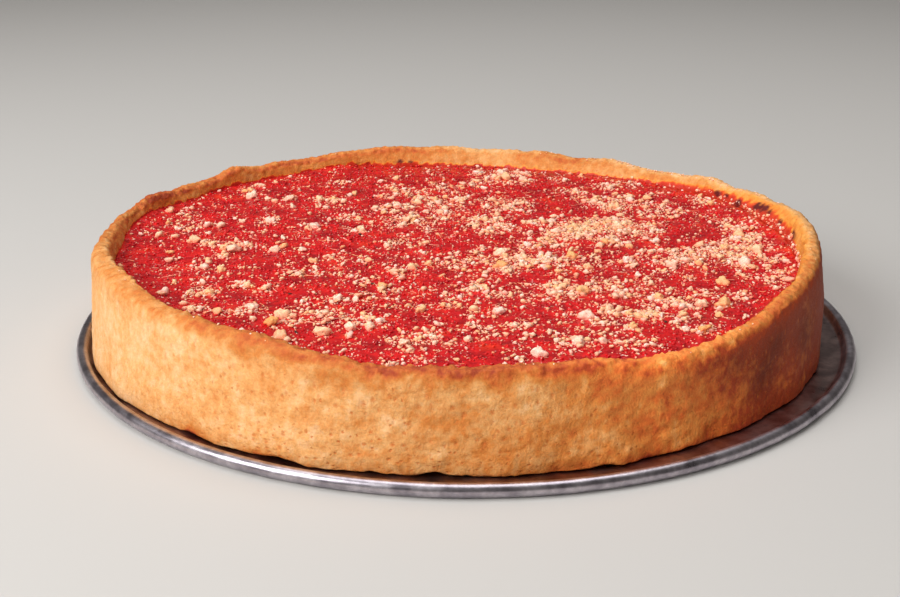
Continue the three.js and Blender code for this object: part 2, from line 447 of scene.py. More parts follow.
# %% Weights round and up the crust
PITTED = [(-102, 30, 0.95), (-62, 18, 0.8), (-28, 22, 0.4), (60, 30, 0.6), (150, 28, 0.5)]
STREAKED = [(-84, 22, 1.0), (-146, 22, 0.4), (-30, 20, 0.2), (60, 40, 0.5), (150, 30, 0.5)]
FOOT_GAPS = [
    (-128, 2, 0.7), (-120, 2.5, 0.6), (-112.5, 2.4, 1.4), (-100.7, 0.9, 0.7), (-97.8, 1, 0.6),
    (-92.7, 1.5, 1.6), (-88.6, 0.8, 0.7), (-71, 1.6, 0.9), (-58, 2, 0.5), (40, 4, 0.8), (95, 3, 0.9),
    (160, 4, 0.8),
]
CRISP_FOOT = 4.0
RIM_ROUND = 1.6

below_rim = rim_height(crust_direction) - crust_places[:, 2]
down_wall = np.clip(below_rim - RIM_ROUND, 0, None)
outside = share((9.4 - crust_stop) / 1.2)
inside = share((crust_stop - 10.2) / 0.8)
on_rim = 1 - share((np.abs(crust_stop - 9.4) - 1.2) / 1.0)
pitted = share(swells(crust_direction, PITTED))
streaked = share(swells(crust_direction, STREAKED))
low = share(1 - crust_places[:, 2] / 26)
high = share(crust_places[:, 2] / 18 - 0.7)
near_crest = bell(down_wall, 6)

# %% Relief in millimetres
UNDULATION_MM = 22
DENT_MM = 9
BLISTER_MM = 5.5
PEEL_MM = 2.7
KNOB_MM = 2.6
STREAK_MM = 2.4
PORE_MM = 4.2
SLOT_MM = 3.0

lying = crust_places * np.array([1, 1, 1.7])
standing = crust_places * np.array([1, 1, 0.45])
undulation = grain(crust_places, UNDULATION_MM, 3)
blisters = grain(lying, BLISTER_MM, 3, 11.3)
peel = grain(crust_places, PEEL_MM, 2, 21.9)
streaks = grain(standing, STREAK_MM, 2, 7.7)
knobs = grain(crust_places, KNOB_MM, 3, 5.7)
dents = grain(crust_places, DENT_MM, 2, 41.3)
pores = share(1 - cells(lying, PORE_MM, 3.1) / 0.26) ** 1.2
slots = share(1 - cells(standing, SLOT_MM, 8.4) / 0.25)
pores = pores * (0.12 + 0.88 * pitted) * (0.4 + low) * (1 - near_crest)
slots = slots * streaked * high * (1 - near_crest)

relief = outside * (
    0.42 * undulation
    + 0.24 * knobs * near_crest
    + 0.4 * dents * pitted
    + blisters * (0.1 + 0.32 * pitted * (0.3 + low))
    + peel * (0.05 + 0.12 * pitted)
    + streaks * streaked * (0.04 + 0.1 * high)
    - 0.9 * pores - 0.6 * slots
)
crumbly = grain(crust_places, 2.3, 2, 15.3) * bell(crust_stop - 10.1, 1)
relief += on_rim * (0.46 * knobs + 0.15 * blisters) + inside * 0.42 * knobs + 0.9 * crumbly
hidden = (crust_stop < 2.4) | (crust_stop > 13.3)
relief[hidden] = 0
crust_places = crust_places + crust_normals * relief[:, None]
HIGHEST = CAD_BOX[1][2] / MM - 0.02
crust_places[:, 2] = np.minimum(crust_places[:, 2], HIGHEST)
print("relief from", round(relief.min(), 2), "to", round(relief.max(), 2), "mm")

# %% The foot
foot_edge = (crust_stop > 0.9) & (crust_stop < 6)
above_tray = np.clip(crust_places[:, 2] - PIE_BOTTOM, 0, None)
pressed = above_tray * share(above_tray / CRISP_FOOT) ** 1.2
gap_height = swells(crust_direction, FOOT_GAPS) + 0.3 * grain(crust_places, 5, 2, 27.1) - 0.1
lifted = PIE_BOTTOM + pressed + np.exp(-pressed / 2.6) * np.clip(gap_height, 0, None)
crust_places[:, 2] = np.where(foot_edge, lifted, crust_places[:, 2])
move_points(crust, to_metres(crust_places))
print("widest gap under the foot:", round(gap_height.max(), 2), "mm")

# %% [markdown]
# ## How brown it baked, with painted light and shade
#
# The rim stood free in the oven and browned most, in a band that fades down the wall and comes and goes
# round the pie. The skin against the pan stayed pale gold, with orange blotches and with smudges where it
# stuck. Where the wall and rim are turned from the key lamp, the browning is partly painted shade, and the
# dough is painted lighter or darker by direction as light and shade. Pores and pinholes are painted darker,
# as shade in them. Over the sauce the inner wall is stained orange and scorched in spots. All this is kept
# as numbers on the points, so that colour follows form.

# %% Where it browned, round the pie
# Browning of the rim, partly painted shade where the rim is turned from the key lamp, as at the back left.
TOASTED_RIM = [
    (178, 14, 0.42), (-150, 20, 0.3), (-122, 14, 0.38), (-106, 12, 0.44), (-92, 10, 0.48),
    (-78, 12, 0.64), (-60, 10, 0.42), (-38, 14, 0.6), (-16, 12, 0.22), (0, 20, 0.06), (45, 12, 0.12),
    (68, 8, 0.4), (101, 9, 0.42), (121, 13, 0.56), (143, 11, 0.46), (160, 9, 0.66),
]
# Browning of the wall; from -66 to -8 degrees, the side turned from the key lamp, it is partly painted
# shade.
TOASTED_WALL = [
    (-120, 14, 0.05), (-98, 15, 0.12), (-82, 11, 0.2), (-66, 11, 0.34), (-48, 12, 0.64), (-30, 15, 0.74),
    (-8, 16, 0.8), (30, 26, 0.5), (75, 30, 0.4), (112, 20, 0.36), (142, 18, 0.24), (166, 14, 0.14),
]
TOASTED_FOOT = [
    (-128, 3, 0.6), (-114, 7, 0.5), (-66, 9, 0.35), (-20, 20, 0.3), (60, 20, 0.4), (150, 20, 0.4),
]
# Painted light and shade: how much lighter or darker the dough is painted in each direction, as a part of
# its brightness, on the wall, the rim and the foot, where it stands for light thrown back from below.
PALE = [(-64, 12, 0.2), (-90, 20, -0.06), (-14, 18, -0.2), (-46, 12, -0.1)]
PALE_RIM = [
    (-62, 14, 0.36), (-35, 16, 0.06), (5, 26, -0.1), (-125, 30, -0.12), (-82, 12, -0.08),
    (178, 20, -0.18), (62, 12, -0.08),
]
PALE_FOOT = [(-42, 20, 0.6), (-8, 16, 0.35)]
# How many millimetres the sauce's stain climbs, and how much of the crest is buttery.
STAINED_WALL = [(6, 18, 5.4), (34, 14, 3.6), (76, 18, 0.7), (104, 9, 1.8), (140, 16, 0.4), (-120, 60, 0.2)]
BUTTERY = [(2, 22, 0.14), (17, 10, 0.12), (-30, 12, 0.05)]
# Smudges where the wall stuck to the pan: direction, height, how far each spreads in degrees and in
# millimetres, and how much darker it is.
SMUDGES = [
    (-43.5, 19, 3.2, 9, 0.42), (-39.5, 28, 3, 7, 0.34), (-30, 24, 4, 9, 0.34), (-54, 32, 4, 5, 0.24),
    (-58.5, 28, 3, 7, 0.2), (-49, 27, 3, 6, 0.2), (38, 24, 6, 9, 0.14), (95, 22, 5, 8, 0.12),
    (150, 26, 5, 8, 0.1),
]
# Scorched spots by the sauce: x, y, height and spread.
CHARRED = [
    (124.7, 71.9, 38.6, 2.6), (128.0, 66.0, 38.9, 2.2), (131.0, 55.2, 38.4, 3.2), (137.0, 41.4, 40.8, 3.0),
    (139.6, 35.8, 41.4, 3.6), (141.2, 28.4, 41.2, 2.6), (142.4, 15.0, 41.0, 2.2), (143.0, -4.6, 41.0, 3.6),
    (-51.6, 133, 37, 1.5), (-45.6, 135, 37, 1.4), (-29.5, 139.6, 36.8, 1.6), (-24, 140.4, 36.6, 1.3),
]


def scorched(places):
    """How burnt each place is, between 0 and 1."""
    total = np.zeros(len(places))
    for *middle, spread in CHARRED:
        total += bell(np.linalg.norm((places - middle) * np.array([1, 1, 1.6]), axis=1), spread)
    return share(total * (2.2 + 1.8 * grain(places, 2.2, 2, 6.1)) - 0.5)


# %% Browning, stain and smudges as numbers on the points
blotches = grain(crust_places, 16, 4, 31.0)
mottle = grain(crust_places, 5, 3, 17.0)
fine_mottle = grain(crust_places, 2.4, 2, 13.0)
band = bell(down_wall, 5.0 + 3.0 * blotches)
foot_band = np.exp(-np.clip(crust_places[:, 2] - 2.6, 0, None) / 2.4)
rim_toast = swells(crust_direction, TOASTED_RIM)
wall_toast = swells(crust_direction, TOASTED_WALL) * (1 + 0.14 * blotches - 0.1 * low)
toast = outside * (wall_toast + 0.07 * blotches)
toast += band * (0.06 + 0.3 * rim_toast) * (1 + 0.6 * mottle) * outside
toast += (rim_toast + 0.13 * mottle + 0.12 * fine_mottle - toast) * on_rim
toast -= 0.35 * share(crumbly)
toast += inside * (0.22 + 0.35 * rim_toast + 0.14 * mottle)
toast += outside * foot_band * (0.06 + swells(crust_direction, TOASTED_FOOT) * (0.8 + 0.7 * mottle))
toast += outside * pitted * (0.12 * mottle + 0.12 * fine_mottle - 0.14 * dents)
above_sauce = crust_places[:, 2] - sauce_level(crust_direction)
stain_height = 0.4 + 1.5 * mottle + 1.1 * fine_mottle + swells(crust_direction, STAINED_WALL)
stain = inside * share(1.5 - 1.5 * above_sauce / np.clip(stain_height, 0.2, None))
stain = np.maximum(stain, share((crust_stop - 9.6) / 0.8) * swells(crust_direction, BUTTERY))
at_foot = np.exp(-crust_places[:, 2] / 9) * outside
# Painted light and shade by direction, with the smudges where the wall stuck taken off it.
pale = outside * swells(crust_direction, PALE) + at_foot * swells(crust_direction, PALE_FOOT)
pale += share(on_rim + band * outside) * swells(crust_direction, PALE_RIM)
for middle, height, spread, tall, darker in SMUDGES:
    across = swells(crust_direction, [(middle, spread, darker)])
    pale -= outside * across * bell(crust_places[:, 2] - height, tall)
# Pores and slots are stored so that they are painted darker, as shade in them.
store(
    crust, toast=np.clip(toast, 0, 1.4), pale=1 + pale, pore=share(outside * (pores + 0.7 * slots)),
    stain=stain, char=scorched(crust_places) * inside,
    pitted=share(outside * (pitted * (0.8 + 0.2 * low) + 0.12) * (1 - 0.8 * band)),
)
print("share of the crust well browned:", round(float((toast > 0.6).mean()), 2))

# %% [markdown]
# ## Finish of the crust
#
# Baked bread crust is matt, with a faint gloss where oil soaked in. Its colour runs from pale gold over
# orange tan to toasted brown, and never evenly. The ramp reads the browning stored on the points, which is
# partly painted shade, and adds a finer grain in Object coordinates, so it sits still on the crust. A noise
# of scale s has grains of 1 / s metres. Dough lets a little light in, which softens its pores.


# %% Baked dough
def baked_dough():
    material, tree, surface, place, (toast, pale, pore, stain, char, pitted) = start_material(
        "baked_dough", "toast", "pale", "pore", "stain", "char", "pitted")
    blotch, mottling, crumb = (
        add(tree, "TexNoise", {"Vector": place, "Scale": 1 / (size * MM), "Detail": detail})
        for size, detail in ((14, 3.0), (3, 4.0), (0.9, 3.0))
    )
    # The pan drew the skin upwards, so faint streaks are three times as tall as they are wide.
    drawn = add(tree, "Mapping", {"Vector": place, "Scale": (1, 1, 0.33)})
    streak = add(tree, "TexNoise", {"Vector": drawn, "Scale": 1 / (1.8 * MM), "Detail": 3.0})
    # The patterns swing the browning and its painted shade up and down about its stored value.
    brown = add(tree, "Math", [toast, -0.46], operation="ADD")
    for pattern, strength in ((blotch, 0.4), (mottling, 0.6), (streak, 0.2)):
        brown = add(tree, "Math", [pattern, strength, brown], operation="MULTIPLY_ADD")
    colour = add(tree, "ValToRGB", [brown], stops=[
        (0.0, "#EDBB88"), (0.22, "#E2A464"), (0.5, "#D3823C"), (0.78, "#C8652A"), (1.0, "#A4401E"),
    ])
    speckle = add(tree, "MapRange", [crumb, 0.35, 0.7, 0.9, 1.06])
    # Pinholes where steam came out: four of five cells of 2.5 mm have one, about a millimetre wide. A
    # square root squeezes the cells near the tray, so the holes are squat at the foot, upright above.
    split = add(tree, "SeparateXYZ", [place])
    root = add(tree, "Math", [split.outputs["Z"], 0.5], operation="POWER")
    squeezed = add(tree, "Math", [root, 0.24], operation="MULTIPLY")
    squat = add(tree, "CombineXYZ", [split.outputs["X"], split.outputs["Y"], squeezed])
    shake = {MIX_SHARE: 0.0012, MIX_VECTOR_A: squat, MIX_VECTOR_B: crumb.outputs["Color"]}
    shaken = add(tree, "Mix", shake, data_type="VECTOR")
    holes = add(tree, "TexVoronoi", {"Vector": shaken, "Scale": 1 / (2.5 * MM)})
    draw = add(tree, "SeparateColor", [holes.outputs["Color"]])
    some = add(tree, "Math", [draw.outputs[0], 0.2], operation="GREATER_THAN")
    width = add(tree, "Math", [draw.outputs[1], 0.26, 0.2], operation="MULTIPLY_ADD")
    pinhole = add(tree, "MapRange", [holes, 0.08, width, 1.0, 0.0])
    for weight in (some, pitted):
        pinhole = add(tree, "Math", [pinhole, weight], operation="MULTIPLY")
    # The pinholes are painted darker, as shade in them.
    baked_in = add(tree, "Math", [pinhole, 0.88], operation="MULTIPLY")
    # The sauce's stain, broken up by the mottling: yellow at its edge, then orange, then red.
    broken = add(tree, "Math", [mottling, 0.5, -0.25], operation="MULTIPLY_ADD")
    soaked = add(tree, "Math", [stain, broken], operation="ADD")
    film = add(tree, "ValToRGB", [soaked], stops=[
        (0.08, "#F0A440"), (0.3, "#E67C2C"), (0.5, "#D8441E"), (0.75, "#C8261A"), (1.0, "#BE1E1A"),
    ])
    covered = add(tree, "MapRange", [stain, 0, 0.22, 0, 0.92])
    # The brightness coat is painted light and shade by direction, less the smudges.
    for amount, coat, way in (
        (1.0, speckle, "MULTIPLY"), (1.0, pale, "MULTIPLY"), (pore, "#C4702E", "MIX"),
        (baked_in, "#C4682A", "MIX"), (covered, film, "MIX"), (char, "#621C1C", "MIX"),
    ):
        colour = add(tree, "Mix", {MIX_SHARE: amount, MIX_BELOW: colour, MIX_ABOVE: coat},
                     data_type="RGBA", blend_type=way)
    rough = add(tree, "MapRange", [mottling, 0, 1, 0.55, 0.8])
    wetter = add(tree, "Math", [stain, -0.35, rough], operation="MULTIPLY_ADD")
    height = add(tree, "Math", [crumb, mottling], operation="ADD")
    height = add(tree, "Math", [streak, 0.4, height], operation="MULTIPLY_ADD")
    bump = add(tree, "Bump", {"Height": height, "Strength": 0.75, "Distance": 0.42 * MM})
    solid = add(tree, "Math", [1.0, pinhole], operation="SUBTRACT")
    sunk = add(tree, "Bump", {"Height": solid, "Strength": 0.5, "Distance": 0.42 * MM, "Normal": bump})
    set_inputs(surface, {
        "Base Color": colour, "Roughness": wetter, "Normal": sunk, "Specular IOR Level": 0.3,
        "Subsurface Weight": 0.12, "Subsurface Radius": (1.0, 0.5, 0.25), "Subsurface Scale": 1.4 * MM,
    })
    return material


crust_piece = show("crust_baked", mesh_of("crust_baked", crust), baked_dough())
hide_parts("crust")

# %% [markdown]
# ## The sauce
#
# Crushed tomato is a wet paste with soft lumps of pulp. Cutting a square grid round gives faces of one
# size all over, which suits an even relief better than a spun disc, whose faces shrink to the middle. The
# edge of the grid is drawn out to the wall and down into the cup, and a floor closes the solid.


# %% Height of the sauce at any point
def sauce_height(x, y):
    """The sauce's level, drawn up or down to its edge along the crust, without its pulp."""
    edge = share(1 - room_to_cup(x, y) / SAUCE_CREEP) ** 2
    lumps = np.sin(x / 9 + 1.3) * np.cos(y / 11 - 0.4) + 0.6 * np.sin((x + y) / 17) * np.cos((x - y) / 13)
    level = SAUCE_LEVEL + (1 - edge) * SAUCE_RELIEF * lumps
    return level + edge * swells(direction_of(x, y), LEVEL_SWELLS)


PULP_MM = 6.5
PULP_HEIGHT = 0.55


def pulp_relief(x, y):
    """Soft lumps of tomato, as high as PULP_HEIGHT, with a finer grain over them."""
    places = np.stack([x, y, np.zeros_like(x)], axis=1)
    drift = grain(places, 9, 2, 2.2)
    moved = places + np.stack([drift, -drift, drift], axis=1) * 2.2
    lump = 1 - share(cells(moved, PULP_MM, 6.6)) ** 1.6
    small = 1 - share(cells(moved, 2.6, 1.9)) ** 1.4
    return PULP_HEIGHT * (lump - 0.72) + 0.5 * (small - 0.62) + 0.3 * grain(places, 2.2, 2, 9.9)


# %% Cutting the sauce from a grid
SAUCE_STEP = 0.93
SAUCE_BOTTOM = CUP_FLOOR + GAP
WALL_TUCK = 0.6
SIDE_INSET = 1.2

sauce = bmesh.new()
reach = CUP_RADIUS + 4
segments = int(2 * reach / SAUCE_STEP)
bmesh.ops.create_grid(sauce, x_segments=segments, y_segments=segments, size=reach)
grid_places = places_of(sauce)
room = room_to_cup(grid_places[:, 0], grid_places[:, 1])
beyond = [vert for vert, distance in zip(sauce.verts, room) if distance < 0.4 * SAUCE_STEP]
bmesh.ops.delete(sauce, geom=beyond, context="VERTS")


def drawn_out(bm, radius_over_cup, height=None):
    """Extrudes the open edge to the cup's wall, at a height or else at the sauce's own level."""
    border = [edge for edge in bm.edges if edge.is_boundary]
    new = bmesh.ops.extrude_edge_only(bm, edges=border)["geom"]
    for vert in (item for item in new if isinstance(item, bmesh.types.BMVert)):
        direction = math.degrees(math.atan2(vert.co.y, vert.co.x))
        radius = float(cup_radius(direction)) + radius_over_cup
        flat = Vector((vert.co.x, vert.co.y)).normalized() * radius
        vert.co = (flat.x, flat.y, height if height is not None else float(sauce_level(direction)))


top_points = len(sauce.verts)
drawn_out(sauce, WALL_TUCK)
drawn_out(sauce, -SIDE_INSET, CUP_FLOOR + CUP_FILLET)
drawn_out(sauce, -SIDE_INSET - CUP_FILLET, SAUCE_BOTTOM)
# The grid still lies under its floor here, so the faces that agree point into the sauce, not out of it.
close(sauce)
sauce_places = places_of(sauce)
x, y = sauce_places[:top_points, 0], sauce_places[:top_points, 1]
pulp = pulp_relief(x, y)
sauce_places[:top_points, 2] = sauce_height(x, y) + pulp
print("sauce:", len(sauce.verts), "points")
print("pulp from", round(pulp.min(), 2), "to", round(pulp.max(), 2), "mm")

# %% [markdown]
# ## Cheese: where it fell
#
# The cheese was thrown by hand, so it lies in drifts with bare sauce between them. A drift is a bell curve
# with a middle, two spreads and a weight. Places are drawn at random, and a draw counts more where the
# drifts are thick. Noise breaks each drift into clumps.

# %% Crumbs of the solid: the lone ones, then patches of them
CRUMB_COUNT = 112
CRUMB_SMALLEST = 3.8
CRUMB_LARGEST = 7
CRUMB_EDGE_ROOM = 9.0
LONE_CRUMBS = [
    (-94, -10, 7), (-77, -10, 5.5), (-65, -9, 4.5), (-59, -23, 5), (-95, -37, 4), (-95, -65, 4.5),
    (-99, -83, 4.5), (-76, -82, 5), (-64, -90, 7), (-62, -112, 6.5), (-48, -107, 6.5), (-45, -72, 5),
    (-63, 26, 5.5), (-84, 32, 5), (-102, 84, 5), (-80, 73, 6.5), (-65, 69, 5), (-18, -33, 5),
    (-29, -56, 5), (18, -31, 6.5), (-22, 36, 6), (44, 17, 6.5), (48, -17, 6), (49, -63, 6.5),
    (48, -90, 7), (71, -23, 6), (88, -31, 7), (104, -2, 5), (119, -25, 7.5), (127, -10, 7),
    (101, -77, 7), (105, -51, 6), (89, -103, 6), (-18, -117, 5.5), (43, -117, 5.5), (35, 119, 5),
]
CRUMB_PATCHES = [
    (57, 27, 20, 5), (81, 69, 13, 3), (29, 118, 13, 2), (-18, 82, 17, 3), (122, -9, 12, 3),
    (122, 32, 8, 1), (47, -61, 12, 2), (62, -24, 24, 4), (19, -22, 16, 2), (-43, 37, 14, 1),
    (-60, -92, 14, 1), (-10, -112, 16, 2), (68, -82, 15, 2), (-97, -2, 10, 1), (-100, 80, 10, 1),
    (0, 0, 95, 8),
]

# %% Drifts: x, y, spread along x and y, weight
DRIFTS = [
    (60, 25, 17, 10, 9), (44, 12, 14, 8, 4), (80, 22, 9, 8, 3.4), (62, 4, 9, 7, 2.4),
    (76, 61, 11, 11, 4.2), (20, 62, 14, 12, 3), (-15, 66, 12, 12, 3.6), (-26, 80, 9, 8, 2.2),
    (-8, 92, 8, 11, 1.4), (26, 114, 10, 12, 1.2), (12, 104, 9, 8, 1.2), (76, 94, 9, 8, 1),
    (60, 84, 10, 8, 1.5), (-22, 35, 12, 13, 2.4), (-45, 40, 8, 8, 0.4), (8, 30, 16, 12, 3.6),
    (33, 4, 12, 9, 0.6), (118, -12, 12, 12, 5.4), (92, -20, 11, 11, 3), (129, 34, 8, 8, 1.6),
    (135, 18, 8, 8, 1.2), (105, -42, 10, 10, 0.6), (85, -45, 11, 10, 0.3), (60, -58, 14, 11, 3.2),
    (44, -60, 8, 8, 2.4), (72, -80, 12, 10, 1.8), (58, -90, 10, 8, 1.5), (45, -20, 14, 12, 2.1),
    (19, -24, 12, 10, 3.2), (-2, -22, 12, 9, 3), (22, -62, 9, 8, 1.4), (-20, -32, 8, 9, 0.7),
    (-22, 2, 10, 8, 1.5), (-46, -18, 10, 10, 0.6), (-50, -40, 10, 10, 0.9), (-25, -70, 18, 13, 1.5),
    (5, -82, 16, 11, 0.6), (-45, -94, 14, 9, 1.4), (-20, -115, 13, 8, 2.1), (20, -104, 12, 9, 1),
    (40, -118, 12, 7, 1), (-62, -88, 8, 8, 0.8), (-85, -87, 13, 7, 1.1), (-100, -62, 10, 10, 0.5),
    (-97, -8, 6, 8, 2.2), (-128, 38, 9, 11, 1.1), (-130, 20, 8, 8, 0.8), (-104, 86, 6, 8, 0.5),
    (-80, 75, 5, 5, 0.4), (-65, 71, 5, 6, 0.3), (-85, 34, 5, 7, 0.6), (-64, 28, 5, 5, 0.4),
    (-110, -47, 8, 8, 0.5), (100, -72, 10, 8, 0.6), (88, -101, 7, 5, 0.4), (122, -38, 8, 8, 1.2),
    (40, -100, 9, 8, 0.9),
]
THIN_COVER = 0.2
EDGE_ROOM = 1.5
WIDEST_CUP = 145


def drifted(x, y):
    """How thickly the drifts lie at each place."""
    total = np.full(x.shape, THIN_COVER)
    for middle_x, middle_y, spread_x, spread_y, weight in DRIFTS:
        total += weight * bell(x - middle_x, spread_x) * bell(y - middle_y, spread_y)
    return total


def cover(x, y, contrast):
    """How thickly the cheese lies, with the drifts broken into clumps."""
    places = np.stack([x, y, np.zeros_like(x)], axis=1)
    clump = np.clip(0.55 + 1.1 * grain(places, 7, 3, 4.4), 0.04, 2)
    return (drifted(x, y) * clump) ** contrast


def scattered(rng, count, contrast, room=EDGE_ROOM):
    """Places on the sauce, thicker in the drifts: x and y in millimetres."""
    draws = 5 * count
    angle = rng.uniform(0, 2 * np.pi, draws)
    radius = np.sqrt(rng.uniform(0, 1, draws)) * WIDEST_CUP
    x, y = radius * np.cos(angle), radius * np.sin(angle)
    on_sauce = radius < cup_radius(np.degrees(angle)) - room
    x, y = x[on_sauce], y[on_sauce]
    weight = cover(x, y, contrast)
    chosen = rng.choice(len(x), count, replace=False, p=weight / weight.sum())
    return x[chosen], y[chosen]


# Cheese sticks together as it falls: the middles of the clumps, and how much cheese each one holds.
CLUMPS = 520
clump_rng = np.random.default_rng(10)
clump_x, clump_y = scattered(clump_rng, CLUMPS, 1.0, 3)
clump_x[:len(LONE_CRUMBS)], clump_y[:len(LONE_CRUMBS)] = np.array(LONE_CRUMBS)[:, :2].T
clump_share = 0.15 + clump_rng.exponential(1, CLUMPS) ** 1.3


def strewn(rng, count, contrast, clumped, tightness):
    """Places on the sauce, a share of them in clumps. The tighter, the closer the clumps are packed."""
    in_clumps = int(count * clumped)
    x, y = scattered(rng, count - in_clumps, contrast)
    which = rng.choice(CLUMPS, 2 * in_clumps, p=clump_share / clump_share.sum())
    spread = (0.7 + 1.0 * np.sqrt(clump_share[which])) / tightness
    near_x = clump_x[which] + spread * rng.normal(0, 1, 2 * in_clumps)
    near_y = clump_y[which] + spread * rng.normal(0, 1, 2 * in_clumps)
    kept = np.flatnonzero(room_to_cup(near_x, near_y) > EDGE_ROOM)[:in_clumps]
    return np.concatenate([x, near_x[kept]]), np.concatenate([y, near_y[kept]])


# %% [markdown]
# ## Finish of the sauce
#
# Cooked tomato is a saturated red, more orange on oily lumps, and painted deeper red in the hollows as
# shade.
# It is wet, so its roughness is low and changes from lump to lump, and light that enters it comes out red a
# little further on. Cheese that melted in shows as a pink skin where the drifts are thick, and cheese dust
# as pale specks.

# %% Numbers on the sauce's points
MELTED = [(10, 24, 0.4), (34, 12, 0.3), (60, 30, 0.15), (104, 12, 0.3)]
x, y = sauce_places[:, 0], sauce_places[:, 1]
to_wall = room_to_cup(x, y)
creep = share(1 - to_wall / 4 + 0.7 * grain(sauce_places, 2.5, 2, 5.2))
melted = share(swells(direction_of(x, y), MELTED)) * creep
melted[to_wall > 12] = 0
# The hollows of the pulp are painted darker, as shade in them.
hollow = np.zeros(len(x))
hollow[:top_points] = share(-pulp / 0.6)
store(sauce, hollow=hollow, melted=melted, creamy=share(drifted(x, y) / 6), char=scorched(sauce_places))
move_points(sauce, to_metres(sauce_places))
print("share of the sauce in hollows:", round(float((hollow > 0).mean()), 2))


# %% Wet crushed tomato
def crushed_tomato():
    material, tree, surface, place, (hollow, melted, creamy, char) = start_material(
        "crushed_tomato", "hollow", "melted", "creamy", "char")
    patch, pulp_grain = (
        add(tree, "TexNoise", {"Vector": place, "Scale": 1 / (size * MM), "Detail": detail})
        for size, detail in ((12, 4.0), (2.2, 3.0))
    )
    colour = add(tree, "ValToRGB", [patch], stops=[
        (0.3, "#A60C14"), (0.45, "#C6141A"), (0.6, "#D81C1C"), (0.75, "#E4381E"),
    ])
    finer = add(tree, "MapRange", [pulp_grain, 0.3, 0.7, 0.76, 1.1])
    # Cheese that melted in: streaks of 1.4 mm that close up to a skin where the drifts are thick.
    curds = add(tree, "TexNoise", {
        "Vector": place, "Scale": 1 / (1.4 * MM), "Detail": 5.0, "Roughness": 0.6,
    })
    least = add(tree, "MapRange", [creamy, 0, 1, 0.86, 0.42])
    most = add(tree, "Math", [least, 0.13], operation="ADD")
    skin = add(tree, "MapRange", [curds, least, most, 0, 0.8])
    # Dust of cheese: specks of half a millimetre, in a quarter of all cells of 1.1 mm.
    dust = add(tree, "TexVoronoi", {"Vector": place, "Scale": 1 / (1.1 * MM)})
    lucky = add(tree, "SeparateColor", [dust.outputs["Color"]])
    chosen = add(tree, "Math", [lucky, 0.75], operation="GREATER_THAN")
    speck = add(tree, "MapRange", [dust, 0.16, 0.3, 0.75, 0.0])
    speck = add(tree, "Math", [speck, chosen], operation="MULTIPLY")
    # The hollow coat is painted shade.
    for amount, coat, way in (
        (1.0, finer, "MULTIPLY"), (hollow, "#860A12", "MIX"), (skin, "#F2AC88", "MIX"),
        (speck, "#F8CDBE", "MIX"), (melted, "#DC5220", "MIX"),
        (char, "#621C1C", "MIX"),
    ):
        colour = add(tree, "Mix", {MIX_SHARE: amount, MIX_BELOW: colour, MIX_ABOVE: coat},
                     data_type="RGBA", blend_type=way)
    rough = add(tree, "MapRange", [pulp_grain, 0.3, 0.7, 0.24, 0.44])
    height = add(tree, "Math", [skin, 0.6, pulp_grain], operation="MULTIPLY_ADD")
    bump = add(tree, "Bump", {"Height": height, "Strength": 0.6, "Distance": 0.5 * MM})
    set_inputs(surface, {
        "Base Color": colour, "Roughness": rough, "Normal": bump, "Specular IOR Level": 0.22,
        "Coat Weight": 0.2, "Coat Roughness": 0.14,
        "Subsurface Weight": 0.12, "Subsurface Radius": (1.0, 0.2, 0.12), "Subsurface Scale": 1.2 * MM,
    })
    return material


tomato = crushed_tomato()
sauce_piece = show("sauce", mesh_of("sauce", sauce), tomato)
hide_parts("filling")

# %% [markdown]
# ## Cheese: shapes of crumbs
#
# Grated hard cheese breaks into angular crumbs of all sizes, from grains like coarse salt to lumps of
# almost a centimetre. A crumb starts as an icosphere of 1 mm whose points are pushed in and out. A handful
# of such shapes, turned and stretched at random, is enough for the eye to see no two alike.


# %% A handful of crumb shapes
def crumb_shapes(count, subdivisions, roughness, seed):
    """Crumbs 1 mm across, each as an array of points and an array of faces."""
    shapes = []
    for number in range(count):
        bm = bmesh.new()
        bmesh.ops.create_icosphere(bm, subdivisions=subdivisions, radius=0.5)
        shift = Vector((seed, number * 7.3, 1.7))
        for vert in bm.verts:
            coarse = noise.noise(vert.co * 2.6 + shift)
            fine = noise.noise(vert.co * 6.5 - shift)
            vert.co *= 1 + roughness * (coarse + 0.45 * fine)
        bm.verts.index_update()
        points = np.array([vert.co for vert in bm.verts])
        faces = np.array([[vert.index for vert in face.verts] for face in bm.faces])
        shapes.append((points / np.ptp(points, axis=0), faces))
        bm.free()
    return shapes


# %% [markdown]
# ## Cheese: laying the crumbs
#
# All crumbs of one kind are one mesh. The shape's points are multiplied by a turn and a size for each copy,
# which is the work of an array modifier with a random touch, done in one stroke. Each crumb keeps a tint
# between 0 and 1, so that neighbours differ. Its lower part is painted red, partly as sauce that it took up
# and partly as painted bounce light from the sauce, less where the cheese lies thick.


# %% Joined copies
def random_turns(rng, count, tilt):
    """Rotation matrices: any turn about the upright, and a tilt of up to the given angle in degrees."""
    yaw = rng.uniform(0, 2 * np.pi, count)
    pitch = np.radians(tilt) * rng.uniform(-1, 1, count)
    roll = np.radians(tilt) * rng.uniform(-1, 1, count)
    (cy, sy), (cp, sp), (cr, sr) = ((np.cos(angle), np.sin(angle)) for angle in (yaw, pitch, roll))
    return np.array([
        [cy * cp, cy * sp * sr - sy * cr, cy * sp * cr + sy * sr],
        [sy * cp, sy * sp * sr + cy * cr, sy * sp * cr - cy * sr],
        [-sp, cp * sr, cp * cr],
    ]).transpose(2, 0, 1)


def squashed(rng, sizes, narrowest, flattest, fullest):
    """Length, width and height of pieces: each as long as its size, and by chance narrower and flatter."""
    width = rng.uniform(narrowest, 1, len(sizes))
    height = rng.uniform(flattest, fullest, len(sizes))
    return sizes[:, None] * np.stack([np.ones(len(sizes)), width, height], axis=1)


